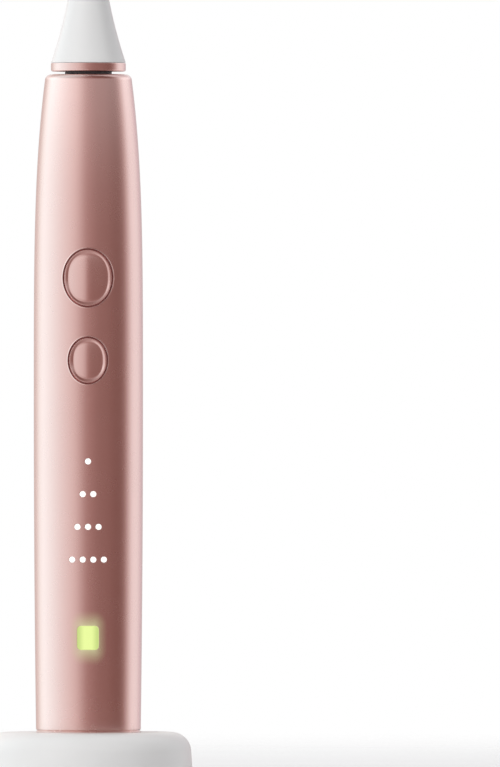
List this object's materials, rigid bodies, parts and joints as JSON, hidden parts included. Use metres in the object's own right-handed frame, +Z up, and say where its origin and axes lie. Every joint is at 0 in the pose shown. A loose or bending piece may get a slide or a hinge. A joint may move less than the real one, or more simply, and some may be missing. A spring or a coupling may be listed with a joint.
{
  "type": "electric toothbrush on charger",
  "caption": "Slim round powered toothbrush with a dished power key and mode key, rows of lights and a clip-on brush head, standing on a low round charging base.",
  "frame": {"origin": "centre of the charging base's rubber foot, on the surface that it stands on", "axes": "+Z up along the handle, -Y to the front, where the buttons and the bristles face, +X to their right"},
  "size_m": [0.0538, 0.0538, 0.2565],
  "materials": {
    "rose_shell": "satin metallic rose lacquer over moulded plastic",
    "white_case": "soft-gloss moulded plastic",
    "grey_rubber": "matt rubber",
    "black_rubber": "smooth seal rubber",
    "silicone": "translucent silicone",
    "screw_steel": "zinc plated",
    "ferrite": "sintered ferrite",
    "bobbin_nylon": "natural nylon",
    "copper_wire": "enamelled copper winding",
    "circuit_board": "solder mask",
    "black_chip": "moulded epoxy",
    "plunger_nylon": "moulded nylon",
    "chassis_grey": "glass-filled plastic",
    "cell_wrap": "shrink-wrapped metal can",
    "nickel": "nickel strip",
    "foam": "foam",
    "lead_red": "wire insulation",
    "lamp": "lamp body",
    "light_guide": "frosted clear plastic, lit white",
    "green_window": "frosted clear plastic, lit green",
    "motor_steel": "drawn steel",
    "bush_bronze": "sintered bronze",
    "spring_steel": "blued spring steel",
    "shaft_steel": "ground stainless steel",
    "rotor_iron": "laminated iron",
    "magnet": "nickel-plated magnet",
    "insert_acetal": "moulded acetal",
    "bristle_nylon": "nylon strands"
  },
  "bodies": {
    "charger": {"charger_top": "white_case", "charger_cover": "white_case", "charger_foot": "grey_rubber", "charger_screws": "screw_steel", "charger_core": "ferrite", "charger_bobbin": "bobbin_nylon", "charger_coil": "copper_wire", "charger_board": "circuit_board", "charger_chips": "black_chip", "cord_gland": "grey_rubber"},
    "handle": {"handle_shell": "rose_shell", "foot_cap": "rose_shell", "foot_seal": "black_rubber", "receiver_bobbin": "bobbin_nylon", "receiver_coil": "copper_wire", "chassis": "chassis_grey", "battery_cell": "cell_wrap", "battery_tabs": "nickel", "battery_pad": "foam", "main_board": "circuit_board", "board_screws": "screw_steel", "control_chip": "black_chip", "switch_bodies": "black_chip", "power_boot": "silicone", "mode_boot": "silicone", "mode_lamps": "lamp", "charge_lamp": "lamp", "mode_light_guide": "light_guide", "charge_window": "green_window", "motor_leads": "lead_red", "coil_leads": "lead_red", "motor_damper": "grey_rubber", "motor_rear_plate": "motor_steel", "motor_rear_bush": "bush_bronze", "motor_can": "motor_steel", "stator_bobbin": "bobbin_nylon", "stator_coil": "copper_wire", "centring_spring": "spring_steel", "motor_front_plate": "motor_steel", "motor_front_bush": "bush_bronze", "nose_cap": "chassis_grey", "nose_seal": "black_rubber", "shaft_seal": "black_rubber"},
    "power_key": {"power_button": "rose_shell", "power_plunger": "plunger_nylon"},
    "mode_key": {"mode_button": "rose_shell", "mode_plunger": "plunger_nylon"},
    "drive": {"drive_shaft": "shaft_steel", "rotor_hub": "rotor_iron", "rotor_magnets": "magnet"},
    "brush_head": {"brush_ring": "rose_shell", "brush_body": "white_case", "brush_insert": "insert_acetal", "bristles": "bristle_nylon"}
  },
  "joints": [
    {"name": "handle_lift", "type": "slide", "parent": "charger", "child": "handle", "axis": [0, 0, 1], "range_m": [0, 0.04]},
    {"name": "power_press", "type": "slide", "parent": "handle", "child": "power_key", "axis": [0, 1, 0], "range_m": [0, 0.0004], "stiffness_N_per_m": 600, "deforming": ["power_boot"]},
    {"name": "mode_press", "type": "slide", "parent": "handle", "child": "mode_key", "axis": [0, 1, 0], "range_m": [0, 0.0004], "stiffness_N_per_m": 600, "deforming": ["mode_boot"]},
    {"name": "brush_sweep", "type": "hinge", "parent": "handle", "child": "drive", "pos_m": [0, 0, 0.15], "axis": [0, 0, 1], "range_deg": [-6, 6], "stiffness_Nm_per_rad": 0.05, "deforming": ["centring_spring"]},
    {"name": "brush_pull", "type": "slide", "parent": "drive", "child": "brush_head", "axis": [0, 0, 1], "range_m": [0, 0.03]}
  ]
}
